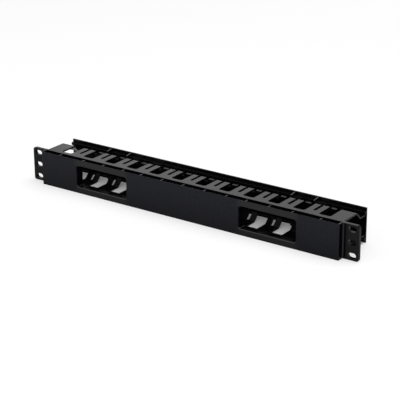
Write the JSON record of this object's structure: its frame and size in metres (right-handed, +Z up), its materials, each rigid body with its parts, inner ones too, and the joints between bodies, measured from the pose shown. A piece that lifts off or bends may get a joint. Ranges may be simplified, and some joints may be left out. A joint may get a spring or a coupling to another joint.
{
  "type": "horizontal cable manager",
  "caption": "One-unit rack-mount finger duct with cable windows in its front wall, slotted ears and a clip-on rear cover.",
  "frame": {"origin": "middle of the pattern of rack slots, on the rear face of the ears, which seats on the rack's rails", "axes": "+X along the panel's width, +Y into the rack from the ears towards the cover, +Z up; the printed front faces -Y"},
  "size_m": [0.4826, 0.0647, 0.0444],
  "materials": {
    "duct_plastic": "fine satin black ABS",
    "cover_plastic": "fine satin black ABS"
  },
  "bodies": {
    "duct": {"duct_body": "duct_plastic"},
    "cover": {"snap_cover": "cover_plastic"}
  },
  "joints": [
    {"name": "cover_slide", "type": "slide", "parent": "duct", "child": "cover", "axis": [1, 0, 0], "range_m": [-0.44, 0.44]}
  ]
}
